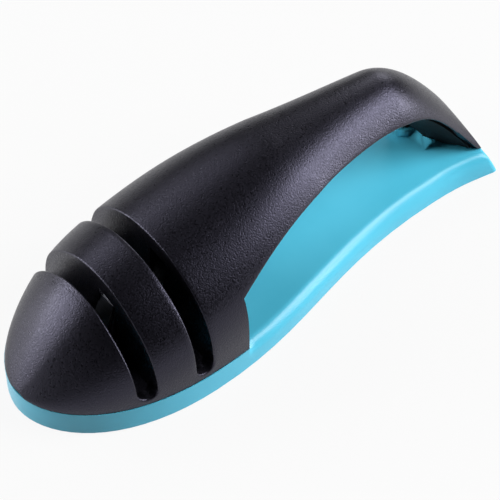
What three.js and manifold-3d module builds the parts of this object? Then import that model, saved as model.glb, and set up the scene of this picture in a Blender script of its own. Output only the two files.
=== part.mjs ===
// Two-stage hand-held knife sharpener. A blade is drawn across the nose through one of two slots,
// down into a V of crossed abrasives, while the other hand holds the arched handle.
//
// Millimetres. X runs from the nose to the tail, Y from the near to the far side, Z up from the table.
// Heights of the cover are given above the deck, the top face of the base.

import * as THREE from 'three';
import { mergeVertices } from 'three/addons/utils/BufferGeometryUtils.js';
import Module from 'manifold-3d';

const wasm = await Module();
wasm.setup();

// Plan of the base: a blunt nose, a wide shoulder, a waist and a flared tail
const BASE_LENGTH = 202;
const TAIL_BULGE = 1;
const TAIL_CORNER = 1.8;
const CORNER_PER_INSET = 1.9;
const WIDEST_X = 58;
const WIDEST_HALF = 35.6;
const WAIST_SETBACK = 28.8;
const WAIST_HALF = 19;
const TAIL_HALF = 22.4;

// Base moulding, a tray that is open below
const FOOT_PROUD = 0.8;
const BASE_HEIGHT = 10;
const BASE_WALL = 2.4;
const DECK_THICKNESS = 2.5;
const DECK_FILLET = 4.5;
const TAIL_EDGE = 1.2;
const RIB_THICKNESS = 1.6;
const RIB_SETBACK = 2;
const RIB_PITCH = 26;
const LOCATING_RIM_HEIGHT = 3;
const LOCATING_RIM_THICKNESS = 1.6;
const LOCATING_RIM_START = 12;

// Cover: crest line along the top, plan line along the side
const COVER_INSET = 0.3;
const COVER_WALL = 2.2;
const NOSE_GAP = 0.4;
const NOSE_LIP = 1.2;
const BROW_X = 60;
const BROW_HEIGHT = 41.5;
const PEAK_SETBACK = 83;
const PEAK_HEIGHT = 49.5;
const TAIL_CREST_HEIGHT = 13;
const TAIL_LEDGE = 0.4;
const POST_HALF = 16.4;
const TAIL_RAKE = 0.46;

// Powers of the cover's arched cross-section, at the nose, the peak and the tail
const SIDE_POWERS = [1.4, 2.05, 1.95];
const TOP_POWERS = [1.85, 4.25, 2.5];

// Finger opening between the handle and the deck
const FINGER_SETBACK = 19;
const FINGER_FRONT_HEIGHT = 25;
const ARCH_SETBACK = 67;
const ARCH_HEIGHT = 40;
const POST_TIP = 1.2;
const BELLY_DEPTH = 9.3;
const BELLY_RUN_IN = 50;
const BELLY_POWER_HANDLE = 2;
const BELLY_POWER_POST = 1.2;
const LINER_WALL = 2;

// Knife slots
const COARSE_X = 32;
const SLOT_PITCH = 21.5;
const SLOT_WIDTH = 6.8;
const SLOT_SILL = 2.5;
const REAR_FLANGE_DEPTH = 5.5;
const FRONT_FLANGE_DEPTH = 3.2;
const FLANGE_THICKNESS = 1.8;

// Crossed abrasives and their holders
const V_HEIGHT = 13.2;
const V_HALF_ANGLE = THREE.MathUtils.degToRad(21);
const ABRASIVE_ABOVE = 12.5;
const ABRASIVE_BELOW = 6;
const PLATE_WIDTH = 7.2;
const PLATE_THICKNESS = 2.5;
const ROD_DIAMETER = 6;
const BACK_WALL = 1.8;
const REAR_WALL_PROUD = 0.8;
const FRONT_WALL_SHORT = 3.5;
const CHEEK = 1.5;
const CHEEK_SETBACK = 0.6;
const WALL_SINK = 4;
const ROD_SHOWN = 2;
const FLANGE_LENGTH = 34;
const FLANGE_WIDTH = 18;
const FLANGE_HEIGHT = 3;
const FLANGE_CORNER = 4;
const BLOCK_SETBACK = 1;
const HOLDER_SCREW_Y = 13;

// Screws and the posts that they bite into
const SCREW_DIAMETER = 3;
const SCREW_BITE = 6;
const SCREW_HEAD_DIAMETER = 6;
const SCREW_HEAD_HEIGHT = 2.2;
const SCREW_HEAD_FLAT = 3.6;
const SCREW_HEAD_EDGE = 1.1;
const SCREW_DEPTH_SPARE = 0.8;
const POST_WALL = 1.3;
const WELL_GAP = 0.6;
const WELL_WALL = 1.6;
const WELL_DEPTH = 4;
const NOSE_SCREW_X = 14;
const SIDE_SCREW_SETBACK = 12.5;
const SIDE_SCREW_INSET = 11.6;
const TAIL_SCREW_INSET = 6.6;

// Rubber feet
const FOOT_DIAMETER = 12;
const FOOT_HEIGHT = 4.7;
const FOOT_EDGE = 0.8;
const FOOT_CUP_WALL = 1.6;
const FRONT_FOOT_SETBACK = 15;
const FRONT_FOOT_INSET = 11.1;
const REAR_FOOT_SETBACK = 23;
const REAR_FOOT_INSET = 10.4;

// Boss and key on the deck that locate the handle's tail post, and the peg that stands on the boss
const TAIL_BOSS_DIAMETER = 10.6;
const TAIL_BOSS_HEIGHT = 3.8;
const TAIL_BOSS_SETBACK = 15.5;
const TAIL_BOSS_Y = 9.8;
const TAIL_PEG_DIAMETER = 8.4;
const TAIL_KEY_SETBACK = 17.2;
const TAIL_KEY_LENGTH = 8;
const TAIL_KEY_NEAR = -4;
const TAIL_KEY_FAR = 4.5;
const TAIL_KEY_HEIGHT = 3;

// Shape of each curve: where its two handles lie, as shares of the run along X and of the rise
const NOSE_HANDLES = [[0, 0.43], [0.31, 1]];
const HIP_HANDLES = [[0.38, 0], [0.55, 1]];
const FLARE_HANDLES = [[0.46, 0], [0.61, 0.35]];
const COVER_SIDE_HANDLES = [[0.355, 0], [0.29, 0.76]];
const NOSE_CREST_HANDLES = [[0.463, 0.975], [0.58, 0.864]];
const BACK_CREST_HANDLES = [[0.72, 0.94], [0.805, 1]];
const TAIL_CREST_HANDLES = [[0.943, 0], [0.62, 0.37]];
const FRONT_ARCH_HANDLES = [[0.165, 0.4], [0.435, 1]];
const REAR_ARCH_HANDLES = [[0.62, 0], [0.665, 0.19]];

// Clearances
const FIT_GAP = 0.3;
const SEAT_GAP = 0.05;
const OVERCUT = 1;

// Facet counts
const OUTER_STEPS = 24;
const OUTER_STATIONS = 38;
const INNER_STEPS = 16;
const INNER_STATIONS = 26;
const ARCH_STEPS = 10;
const BELLY_STEPS = 26;
const FILLET_STEPS = 4;
const ROUND_SIDES = 20;
const SMALL_ROUND_SIDES = 12;
const NOSE_STEPS = 18;
const HIP_STEPS = 13;
const FLARE_STEPS = 6;
const CORNER_STEPS = 3;
const RIM_STEPS = 8;

const RIM_Z = FOOT_PROUD;
const DECK_Z = RIM_Z + BASE_HEIGHT;
const DECK_UNDER_Z = DECK_Z - DECK_THICKNESS;
const TAIL_CORNER_X = BASE_LENGTH - TAIL_BULGE;
const WAIST_X = TAIL_CORNER_X - WAIST_SETBACK;
const POST_X = BASE_LENGTH - TAIL_RAKE * BASE_HEIGHT - TAIL_LEDGE;
const PEAK_X = POST_X - PEAK_SETBACK;
const ARCH_X = POST_X - ARCH_SETBACK;
const FINE_X = COARSE_X + SLOT_PITCH;
const FINGER_FRONT_X = FINE_X + FINGER_SETBACK;
const TAIL_SCREW_X = POST_X - TAIL_SCREW_INSET;
const TAIL_BOSS_X = POST_X - TAIL_BOSS_SETBACK;
const ABOVE_ALL = DECK_Z + 2 * PEAK_HEIGHT;
const PAST_SIDES = 1.3 * WIDEST_HALF;

const FINISH = {
  bluePlastic: { color: 0x45aecb, roughness: 0.35, metalness: 0 },
  blackPlastic: { color: 0x1b1a1e, roughness: 0.55, metalness: 0 },
  carbide: { color: 0xa9acb0, roughness: 0.3, metalness: 1 },
  ceramic: { color: 0x4b5154, roughness: 0.5, metalness: 0 },
  steel: { color: 0x8f9296, roughness: 0.35, metalness: 1 },
  rubber: { color: 0x17171a, roughness: 0.9, metalness: 0 },
};

// Joining and cutting

function solidOf(geometry) {
  const bare = geometry.clone();
  bare.deleteAttribute('normal');
  bare.deleteAttribute('uv');
  const merged = mergeVertices(bare, 1e-4);
  const index = merged.index.array;
  const triangles = [];
  for (let i = 0; i < index.length; i += 3) {
    const [a, b, c] = index.slice(i, i + 3);
    if (a !== b && b !== c && c !== a) triangles.push(a, b, c);
  }
  return new wasm.Manifold(new wasm.Mesh({
    numProp: 3,
    vertProperties: Float32Array.from(merged.attributes.position.array),
    triVerts: Uint32Array.from(triangles),
  }));
}

function joined(solids) {
  return solids.reduce((whole, solid) => whole.add(solid));
}

function meshOf(name, solid, finish) {
  const { vertProperties, triVerts } = solid.getMesh();
  const geometry = new THREE.BufferGeometry();
  geometry.setAttribute('position', new THREE.BufferAttribute(Float32Array.from(vertProperties), 3));
  geometry.setIndex(new THREE.BufferAttribute(Uint32Array.from(triVerts), 1));
  geometry.computeVertexNormals();
  const mesh = new THREE.Mesh(geometry, new THREE.MeshStandardMaterial(finish));
  mesh.name = name;
  return mesh;
}

// Basic solids, each placed by its own corner or axis values

function box(x0, x1, y0, y1, z0, z1) {
  const geometry = new THREE.BoxGeometry(x1 - x0, y1 - y0, z1 - z0);
  return solidOf(geometry.translate((x0 + x1) / 2, (y0 + y1) / 2, (z0 + z1) / 2));
}

function upright(x, y, radius, z0, z1) {
  const sides = radius < SCREW_HEAD_DIAMETER ? SMALL_ROUND_SIDES : ROUND_SIDES;
  const geometry = new THREE.CylinderGeometry(radius, radius, z1 - z0, sides);
  return solidOf(geometry.rotateX(Math.PI / 2).translate(x, y, (z0 + z1) / 2));
}

// A solid skinned over rings of equal length, closed by a flat cap at each end
function loft(rings, flatten) {
  const count = rings[0].length;
  const last = (rings.length - 1) * count;
  const triangles = [];
  for (let i = 0; i < rings.length - 1; i++) {
    for (let j = 0; j < count; j++) {
      const next = (j + 1) % count;
      const a = i * count + j;
      const b = i * count + next;
      triangles.push(a, b, b + count, a, b + count, a + count);
    }
  }
  const caps = [[rings[0], 0, -1], [rings[rings.length - 1], last, 1]];
  for (const [ring, start, side] of caps) {
    const flat = ring.map(flatten);
    const turn = Math.sign(THREE.ShapeUtils.area(flat)) * side;
    for (const [a, b, c] of THREE.ShapeUtils.triangulateShape(flat, [])) {
      const forward = Math.sign(THREE.ShapeUtils.area([flat[a], flat[b], flat[c]])) === turn;
      triangles.push(start + a, start + (forward ? b : c), start + (forward ? c : b));
    }
  }
  const geometry = new THREE.BufferGeometry().setFromPoints(rings.flat());
  geometry.setIndex(triangles);
  const solid = solidOf(geometry);
  if (solid.volume() > 0) return solid;
  geometry.setIndex(triangles.reverse());
  return solidOf(geometry);
}

const fromAbove = (point) => new THREE.Vector2(point.x, point.y);
const fromFront = (point) => new THREE.Vector2(point.y, point.z);
const fromSide = (point) => new THREE.Vector2(point.x, point.z);

// Curves

// A curve from one point to another, bent by two handles
function curveFrom([x0, y0], [x1, y1], handles) {
  const start = new THREE.Vector2(x0, y0);
  const end = new THREE.Vector2(x1, y1);
  const bends = handles.map(([run, rise]) => (
    new THREE.Vector2(THREE.MathUtils.lerp(x0, x1, run), THREE.MathUtils.lerp(y0, y1, rise))
  ));
  return new THREE.CubicBezierCurve(start, ...bends, end);
}

// Height of a chain of curves over x, where x grows along every curve
function heightAt(curves, x) {
  const curve = curves.find((each) => x <= each.v3.x) ?? curves[curves.length - 1];
  let low = 0;
  let high = 1;
  for (let i = 0; i < 40; i++) {
    const middle = (low + high) / 2;
    if (curve.getPoint(middle).x < x) low = middle;
    else high = middle;
  }
  return curve.getPoint(low).y;
}

const NOSE_TIP = [0, 0];
const SHOULDER = [WIDEST_X, WIDEST_HALF];
const WAIST = [WAIST_X, WAIST_HALF];
const noseCurve = curveFrom(NOSE_TIP, SHOULDER, NOSE_HANDLES);
const hipCurve = curveFrom(SHOULDER, WAIST, HIP_HANDLES);
const coverSideCurve = curveFrom(
  [WIDEST_X, WIDEST_HALF - COVER_INSET], [POST_X, POST_HALF], COVER_SIDE_HANDLES,
);

const BROW = [BROW_X, BROW_HEIGHT];
const PEAK = [PEAK_X, PEAK_HEIGHT];
const crestCurves = [
  curveFrom([NOSE_GAP, NOSE_LIP], BROW, NOSE_CREST_HANDLES),
  curveFrom(BROW, PEAK, BACK_CREST_HANDLES),
  curveFrom(PEAK, [POST_X, TAIL_CREST_HEIGHT], TAIL_CREST_HANDLES),
];

// Lower edge of the handle's side, from the front of the finger opening back to the deck
const ARCH_TOP = [ARCH_X, ARCH_HEIGHT];
const archCurves = [
  curveFrom([FINGER_FRONT_X, FINGER_FRONT_HEIGHT], ARCH_TOP, FRONT_ARCH_HANDLES),
  curveFrom(ARCH_TOP, [POST_X - POST_TIP, 0], REAR_ARCH_HANDLES),
];

// Depth of the base's rolled edge, which grows towards the tail until only a thin upright edge is left
function rollDepth(x) {
  const share = THREE.MathUtils.smoothstep(x, FINGER_FRONT_X, POST_X);
  return THREE.MathUtils.lerp(Math.min(DECK_FILLET, BASE_HEIGHT), BASE_HEIGHT - TAIL_EDGE, share);
}

// Base plan at given heights along X, moved inwards by one amount at the sides and another at the
// tail. The tail end leans forward with the rake.
function baseRing(inset, tailInset, zAt) {
  const tailX = BASE_LENGTH - TAIL_RAKE * (zAt(BASE_LENGTH) - RIM_Z) + inset - tailInset;
  const corner = new THREE.Vector2(tailX - TAIL_BULGE, TAIL_HALF);
  const middle = new THREE.Vector2(tailX, TAIL_HALF / 2);
  const flareCurve = curveFrom(WAIST, corner.toArray(), FLARE_HANDLES);
  const rounding = Math.max(TAIL_CORNER, CORNER_PER_INSET * inset);
  const flareEnd = 1 - rounding / flareCurve.getLength();
  const tailFrom = corner.clone().lerp(middle, rounding / corner.distanceTo(middle));
  const flare = [];
  for (let i = 0; i < FLARE_STEPS; i++) flare.push(flareCurve.getPoint((i / FLARE_STEPS) * flareEnd));
  const cornerCurve = new THREE.QuadraticBezierCurve(flareCurve.getPoint(flareEnd), corner, tailFrom);
  const tailCurve = new THREE.QuadraticBezierCurve(tailFrom, middle, new THREE.Vector2(tailX, 0));
  const far = [
    ...noseCurve.getPoints(NOSE_STEPS).slice(0, -1),
    ...hipCurve.getPoints(HIP_STEPS).slice(0, -1),
    ...flare,
    ...cornerCurve.getPoints(CORNER_STEPS).slice(0, -1),
    ...tailCurve.getPoints(CORNER_STEPS),
  ];
  const near = far.slice(1, -1).reverse().map((point) => new THREE.Vector2(point.x, -point.y));
  const points = [...far, ...near];
  return points.map((point, i) => {
    const before = points[(i + points.length - 1) % points.length];
    const after = points[(i + 1) % points.length];
    const into = point.clone().sub(before).normalize();
    const out = after.clone().sub(point).normalize();
    const inward = new THREE.Vector2(into.y + out.y, -into.x - out.x);
    const moved = point.clone().addScaledVector(inward, inset / (1 + into.dot(out)));
    return new THREE.Vector3(moved.x, moved.y, zAt(moved.x));
  });
}

function level(points, z) {
  return points.map((point) => new THREE.Vector3(point.x, point.y, z));
}

// Cover form: an arched cross-section that grows, crests and falls along X

function coverHalf(x) {
  if (x <= WIDEST_X) return heightAt([noseCurve], x) - COVER_INSET;
  return heightAt([coverSideCurve], x);
}

// Height of a line after it is moved inwards by an even amount, square to itself
function movedIn(measure, x, inset) {
  const heights = [-80, -60, -40, -20, 0, 20, 40, 60, 80].map((degrees) => {
    const angle = THREE.MathUtils.degToRad(degrees);
    const beside = THREE.MathUtils.clamp(x + inset * Math.sin(angle), NOSE_GAP, POST_X);
    return measure(beside) - inset * Math.cos(angle);
  });
  return Math.min(...heights);
}

const crestAt = (x) => heightAt(crestCurves, x);

function powerAt([nose, peak, tail], x) {
  if (x < PEAK_X) return THREE.MathUtils.mapLinear(x, 0, PEAK_X, nose, peak);
  return THREE.MathUtils.mapLinear(x, PEAK_X, POST_X, peak, tail);
}

const sidePower = (x) => powerAt(SIDE_POWERS, x);
const topPower = (x) => powerAt(TOP_POWERS, x);

function coverSection(x, inset, drop, steps) {
  const half = movedIn(coverHalf, x, inset);
  const rise = movedIn(crestAt, x, inset);
  const ring = [];
  if (drop > 0) ring.push(new THREE.Vector3(x, -half, DECK_Z - drop));
  for (let i = 0; i <= steps; i++) {
    const angle = (Math.PI * i) / steps;
    const across = Math.cos(angle);
    const y = -half * Math.sign(across) * Math.abs(across) ** (2 / sidePower(x));
    const z = i % steps === 0 ? 0 : rise * Math.sin(angle) ** (2 / topPower(x));
    ring.push(new THREE.Vector3(x, y, DECK_Z + z));
  }
  if (drop > 0) ring.push(new THREE.Vector3(x, half, DECK_Z - drop));
  return ring;
}

// Everything behind the handle's raked end, shifted forward by an even amount
function behindRake(inset) {
  const shift = inset * Math.hypot(1, TAIL_RAKE);
  const top = ABOVE_ALL - DECK_Z;
  const shape = new THREE.Shape();
  shape.moveTo(POST_X - shift + TAIL_RAKE * 2 * BASE_HEIGHT, -2 * BASE_HEIGHT);
  shape.lineTo(2 * BASE_LENGTH, -2 * BASE_HEIGHT);
  shape.lineTo(2 * BASE_LENGTH, top);
  shape.lineTo(POST_X - shift - TAIL_RAKE * top, top);
  const geometry = new THREE.ExtrudeGeometry(shape, { depth: 2 * PAST_SIDES, bevelEnabled: false });
  return solidOf(geometry.rotateX(Math.PI / 2).translate(0, PAST_SIDES, DECK_Z));
}

function coverForm(inset, drop) {
  const slimmest = 0.8;
  const steps = inset > 0 ? INNER_STEPS : OUTER_STEPS;
  const stations = inset > 0 ? INNER_STATIONS : OUTER_STATIONS;
  let start = NOSE_GAP;
  const room = (x) => Math.min(movedIn(coverHalf, x, inset), movedIn(crestAt, x, inset));
  while (room(start) < slimmest) start += 0.1;
  const rings = [];
  for (let i = 0; i < stations; i++) {
    const share = (1 - Math.cos((Math.PI * i) / (stations - 1))) / 2;
    rings.push(coverSection(start + share * (POST_X - start), inset, drop, steps));
  }
  return loft(rings, fromFront).subtract(behindRake(inset));
}

// Half-width of the cover at a height above the deck
function coverReach(x, height) {
  const share = Math.min(height / crestAt(x), 1);
  return coverHalf(x) * (1 - share ** topPower(x)) ** (1 / sidePower(x));
}

// Finger opening, grown outwards by an even amount. Its roof hangs down in a rounded belly
// between the handle's two lower edges, and the belly runs down the front of the tail post.
function fingerOpening(growth) {
  const bottom = -BASE_HEIGHT;
  const edge = archCurves.flatMap((curve, part) => {
    const points = [];
    for (let i = part; i <= ARCH_STEPS; i++) {
      const tangent = curve.getTangent(i / ARCH_STEPS);
      points.push({ at: curve.getPoint(i / ARCH_STEPS), down: new THREE.Vector2(tangent.y, -tangent.x) });
    }
    return points;
  });
  const first = edge[0];
  const corner = first.at.y + (growth * (1 + first.down.x)) / -first.down.y;
  const last = edge[edge.length - 1];
  const rings = [];
  for (let i = 0; i <= BELLY_STEPS; i++) {
    const y = PAST_SIDES * ((2 * i) / BELLY_STEPS - 1);
    const outline = [
      new THREE.Vector2(FINGER_FRONT_X - growth, bottom),
      new THREE.Vector2(FINGER_FRONT_X - growth, corner),
    ];
    for (const { at, down } of edge.slice(1)) {
      const runIn = THREE.MathUtils.smoothstep(at.x, FINGER_FRONT_X, FINGER_FRONT_X + BELLY_RUN_IN);
      const reach = coverReach(at.x, Math.max(at.y, 0));
      const postShare = THREE.MathUtils.smoothstep(at.x, ARCH_X, POST_X);
      const power = THREE.MathUtils.lerp(BELLY_POWER_HANDLE, BELLY_POWER_POST, postShare);
      const belly = BELLY_DEPTH * runIn * Math.max(1 - Math.abs(y / reach) ** power, 0);
      outline.push(at.clone().addScaledVector(down, belly - growth));
    }
    const end = outline[outline.length - 1];
    const slope = -last.down.x / last.down.y;
    outline.push(new THREE.Vector2(end.x + (bottom - end.y) / slope, bottom));
    rings.push(outline.map((point) => new THREE.Vector3(point.x, y, DECK_Z + point.y)));
  }
  return loft(rings, fromSide);
}

// Knife slot: a straight saw-like cut down to a round sill above the deck at each side
function slotCut(x) {
  const half = SLOT_WIDTH / 2;
  const shape = new THREE.Shape();
  shape.moveTo(-half, ABOVE_ALL);
  shape.lineTo(-half, DECK_Z + SLOT_SILL + half);
  shape.absarc(0, DECK_Z + SLOT_SILL + half, half, Math.PI, 2 * Math.PI, false);
  shape.lineTo(half, ABOVE_ALL);
  const options = { depth: 2 * PAST_SIDES, bevelEnabled: false, curveSegments: 8 };
  const geometry = new THREE.ExtrudeGeometry(shape, options);
  return solidOf(geometry.rotateX(Math.PI / 2).translate(x, PAST_SIDES, 0));
}

// Zone of a slot with its guide flanges, widened by a clearance
function slotZone(x, gap) {
  const half = SLOT_WIDTH / 2 + FLANGE_THICKNESS + gap;
  return box(x - half, x + half, -PAST_SIDES, PAST_SIDES, 0, ABOVE_ALL);
}

const HOLDER_HALF = PLATE_WIDTH + FIT_GAP + CHEEK;

// Guide flanges turned in along a slot, a wall behind it with a doorway for the holder, and a floor
// under it on both sides of the holder's foot
function slotFlanges(x) {
  const half = SLOT_WIDTH / 2;
  const front = x - half - FLANGE_THICKNESS;
  const rear = x + half + FLANGE_THICKNESS;
  const before = box(front, x, -PAST_SIDES, PAST_SIDES, 0, ABOVE_ALL);
  const behind = box(x, rear, -PAST_SIDES, PAST_SIDES, 0, ABOVE_ALL);
  const wall = box(x + half, rear, -PAST_SIDES, PAST_SIDES, 0, ABOVE_ALL);
  const floor = box(front, rear, -PAST_SIDES, PAST_SIDES, 0, DECK_Z + SLOT_SILL);
  const doorHalf = HOLDER_HALF + 2 * FIT_GAP;
  const footHalf = FLANGE_LENGTH / 2 + FIT_GAP;
  const doorway = box(x, rear, -doorHalf, doorHalf, 0, ABOVE_ALL);
  const overFoot = box(front, rear, -footHalf, footHalf, 0, DECK_Z + FLANGE_HEIGHT + FIT_GAP);
  return joined([
    before.subtract(coverForm(FRONT_FLANGE_DEPTH, OVERCUT)),
    behind.subtract(coverForm(REAR_FLANGE_DEPTH, OVERCUT)),
    wall.subtract(doorway).add(floor).subtract(overFoot),
  ]);
}

const SLOTS = [COARSE_X, FINE_X];
const SIDE_SCREW_X = FINE_X + SIDE_SCREW_SETBACK;
const SIDE_SCREW_Y = WIDEST_HALF - SIDE_SCREW_INSET;
const COVER_SCREWS = {
  nose: [NOSE_SCREW_X, 0],
  near: [SIDE_SCREW_X, -SIDE_SCREW_Y],
  far: [SIDE_SCREW_X, SIDE_SCREW_Y],
  tail: [TAIL_SCREW_X, 0],
};
const HOLDER_SCREWS = {
  coarse_near: [COARSE_X, -HOLDER_SCREW_Y],
  coarse_far: [COARSE_X, HOLDER_SCREW_Y],
  fine_near: [FINE_X, -HOLDER_SCREW_Y],
  fine_far: [FINE_X, HOLDER_SCREW_Y],
};
const SCREWS = [...Object.values(COVER_SCREWS), ...Object.values(HOLDER_SCREWS)];
const FRONT_FOOT_X = WIDEST_X - FRONT_FOOT_SETBACK;
const FRONT_FOOT_Y = WIDEST_HALF - FRONT_FOOT_INSET;
const REAR_FOOT_X = TAIL_CORNER_X - REAR_FOOT_SETBACK;
const REAR_FOOT_Y = WAIST_HALF - REAR_FOOT_INSET;
const FEET = {
  front_near: [FRONT_FOOT_X, -FRONT_FOOT_Y],
  front_far: [FRONT_FOOT_X, FRONT_FOOT_Y],
  rear_near: [REAR_FOOT_X, -REAR_FOOT_Y],
  rear_far: [REAR_FOOT_X, REAR_FOOT_Y],
};
const SCREW_HOLE_RADIUS = SCREW_DIAMETER / 2 + FIT_GAP;
const SCREW_POST_RADIUS = SCREW_HOLE_RADIUS + POST_WALL;
const WELL_RADIUS = SCREW_HEAD_DIAMETER / 2 + WELL_GAP;

// Blind hole for a screw's thread, up from the deck
function screwHole([x, y]) {
  return upright(x, y, SCREW_HOLE_RADIUS, DECK_Z - OVERCUT, DECK_Z + SCREW_BITE + SCREW_DEPTH_SPARE);
}

// Black cover: one thin moulding from the nose over the handle to the tail, open below, with guide
// flanges turned in along both slots and posts for its screws
function cover() {
  const form = coverForm(0, 0);
  const hollow = coverForm(COVER_WALL, OVERCUT);
  const flanges = joined(SLOTS.map(slotFlanges));
  const posts = joined(Object.values(COVER_SCREWS).map(([x, y]) => (
    upright(x, y, SCREW_POST_RADIUS, DECK_Z, ABOVE_ALL)
  ))).intersect(form);
  const cuts = joined([fingerOpening(0), ...SLOTS.map(slotCut)]);
  const shell = form.subtract(hollow.subtract(flanges)).subtract(cuts);
  const clearPosts = posts.subtract(fingerOpening(LINER_WALL + FIT_GAP));
  return shell.add(clearPosts).subtract(joined(Object.values(COVER_SCREWS).map(screwHole)));
}

// Black liner inside the cover: the wall behind the slots, the rounded belly of the handle and the
// front of the tail post, in one strip that stands on the deck at both ends
function handleLiner() {
  const inside = coverForm(COVER_WALL + FIT_GAP, 0);
  const strip = inside.intersect(fingerOpening(LINER_WALL)).subtract(fingerOpening(0));
  const pegFoot = DECK_Z + TAIL_BOSS_HEIGHT + SEAT_GAP;
  const peg = upright(TAIL_BOSS_X, TAIL_BOSS_Y, TAIL_PEG_DIAMETER / 2, pegFoot, ABOVE_ALL)
    .intersect(coverForm(COVER_WALL + 2 * FIT_GAP, 0))
    .intersect(fingerOpening(LINER_WALL / 2));
  return strip.add(peg);
}

// Low wall on the deck that the cover's edge drops over, broken where the slots pass
function locatingRim() {
  const rear = FINGER_FRONT_X - LINER_WALL - FIT_GAP;
  const plan = (inset) => {
    const far = [];
    for (let i = 0; i <= RIM_STEPS; i++) {
      const x = LOCATING_RIM_START + (rear - LOCATING_RIM_START) * (i / RIM_STEPS);
      far.push(new THREE.Vector2(x, movedIn(coverHalf, x, inset)));
    }
    return [...far, ...far.map((point) => new THREE.Vector2(point.x, -point.y)).reverse()];
  };
  const outer = plan(COVER_WALL + 2 * FIT_GAP);
  const inner = plan(COVER_WALL + 2 * FIT_GAP + LOCATING_RIM_THICKNESS);
  const rim = loft([level(outer, DECK_UNDER_Z), level(outer, DECK_Z + LOCATING_RIM_HEIGHT)], fromAbove)
    .subtract(loft([level(inner, 0), level(inner, ABOVE_ALL)], fromAbove));
  return rim.subtract(joined(SLOTS.map((x) => slotZone(x, FIT_GAP))));
}

// Round boss and flat key on the deck in front of the tail post, cut to the belly above them
function tailLocators() {
  const keyX = POST_X - TAIL_KEY_SETBACK;
  const bossTop = DECK_Z + TAIL_BOSS_HEIGHT;
  const boss = upright(TAIL_BOSS_X, TAIL_BOSS_Y, TAIL_BOSS_DIAMETER / 2, DECK_UNDER_Z, bossTop);
  const profile = new THREE.Shape();
  profile.moveTo(keyX, DECK_UNDER_Z);
  profile.lineTo(keyX + TAIL_KEY_LENGTH, DECK_UNDER_Z);
  profile.lineTo(keyX + TAIL_KEY_LENGTH, DECK_Z + TAIL_KEY_HEIGHT);
  profile.lineTo(keyX + TAIL_KEY_HEIGHT, DECK_Z + TAIL_KEY_HEIGHT);
  profile.lineTo(keyX, DECK_Z);
  const options = { depth: TAIL_KEY_FAR - TAIL_KEY_NEAR, bevelEnabled: false };
  const key = new THREE.ExtrudeGeometry(profile, options);
  const both = boss.add(solidOf(key.rotateX(Math.PI / 2).translate(0, TAIL_KEY_FAR, 0)));
  return both.intersect(fingerOpening(-FIT_GAP));
}

// Ribs that stiffen the deck from below: one along the middle and a row across
function deckRibs() {
  const ribs = [box(0, BASE_LENGTH, -RIB_THICKNESS / 2, RIB_THICKNESS / 2, RIM_Z + RIB_SETBACK, DECK_Z)];
  for (let x = RIB_PITCH; x < TAIL_CORNER_X; x += RIB_PITCH) {
    const half = RIB_THICKNESS / 2;
    ribs.push(box(x - half, x + half, -PAST_SIDES, PAST_SIDES, RIM_Z + RIB_SETBACK, DECK_Z));
  }
  return joined(ribs);
}

// Blue base: a flat-topped tray with a rolled edge round the handle, foot cups and screw wells below
function basePlate() {
  const rings = [baseRing(0, 0, () => RIM_Z)];
  for (let i = 0; i <= FILLET_STEPS; i++) {
    const angle = (Math.PI / 2) * (i / FILLET_STEPS);
    const inset = DECK_FILLET * (1 - Math.cos(angle));
    rings.push(baseRing(inset, 0, (x) => DECK_Z - rollDepth(x) * (1 - Math.sin(angle))));
  }
  const underCover = loft([baseRing(0, 0, () => RIM_Z), baseRing(0, 0, () => DECK_Z)], fromAbove)
    .intersect(box(-OVERCUT, FINGER_FRONT_X, -PAST_SIDES, PAST_SIDES, 0, ABOVE_ALL));
  const block = loft(rings, fromAbove).add(underCover);

  const hollow = loft([RIM_Z - OVERCUT, DECK_UNDER_Z].map((z) => (
    baseRing(BASE_WALL, BASE_WALL, () => z)
  )), fromAbove);
  const footRadius = FOOT_DIAMETER / 2 + FIT_GAP;
  const footTop = FOOT_HEIGHT + FIT_GAP;
  const cups = Object.values(FEET).map(([x, y]) => upright(x, y, footRadius + FOOT_CUP_WALL, RIM_Z, DECK_Z));
  const wellTubes = SCREWS.map(([x, y]) => (
    upright(x, y, WELL_RADIUS + WELL_WALL, DECK_UNDER_Z - WELL_DEPTH, DECK_Z)
  ));
  const stiffening = joined([deckRibs(), ...cups, ...wellTubes]).intersect(block);

  const pockets = Object.values(FEET).map(([x, y]) => upright(x, y, footRadius, 0, footTop));
  const wells = SCREWS.map(([x, y]) => upright(x, y, WELL_RADIUS, 0, DECK_UNDER_Z));
  const holes = SCREWS.map(([x, y]) => upright(x, y, SCREW_HOLE_RADIUS, 0, ABOVE_ALL));
  return block.subtract(hollow).add(stiffening).add(locatingRim()).add(tailLocators())
    .subtract(joined([...pockets, ...wells, ...holes]));
}

// A block leaning with one abrasive: 'behind' is measured square to the abrasive's working face,
// 'up' along it from the foot of the V
function leaning(behind0, behind1, y0, y1, up0, up1) {
  const geometry = new THREE.BoxGeometry(behind1 - behind0, y1 - y0, up1 - up0);
  geometry.translate((behind0 + behind1) / 2, (y0 + y1) / 2, (up0 + up1) / 2);
  return solidOf(geometry.rotateY(V_HALF_ANGLE));
}

function halfTurn(solid) {
  return solid.rotate([0, 0, 180]);
}

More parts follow.
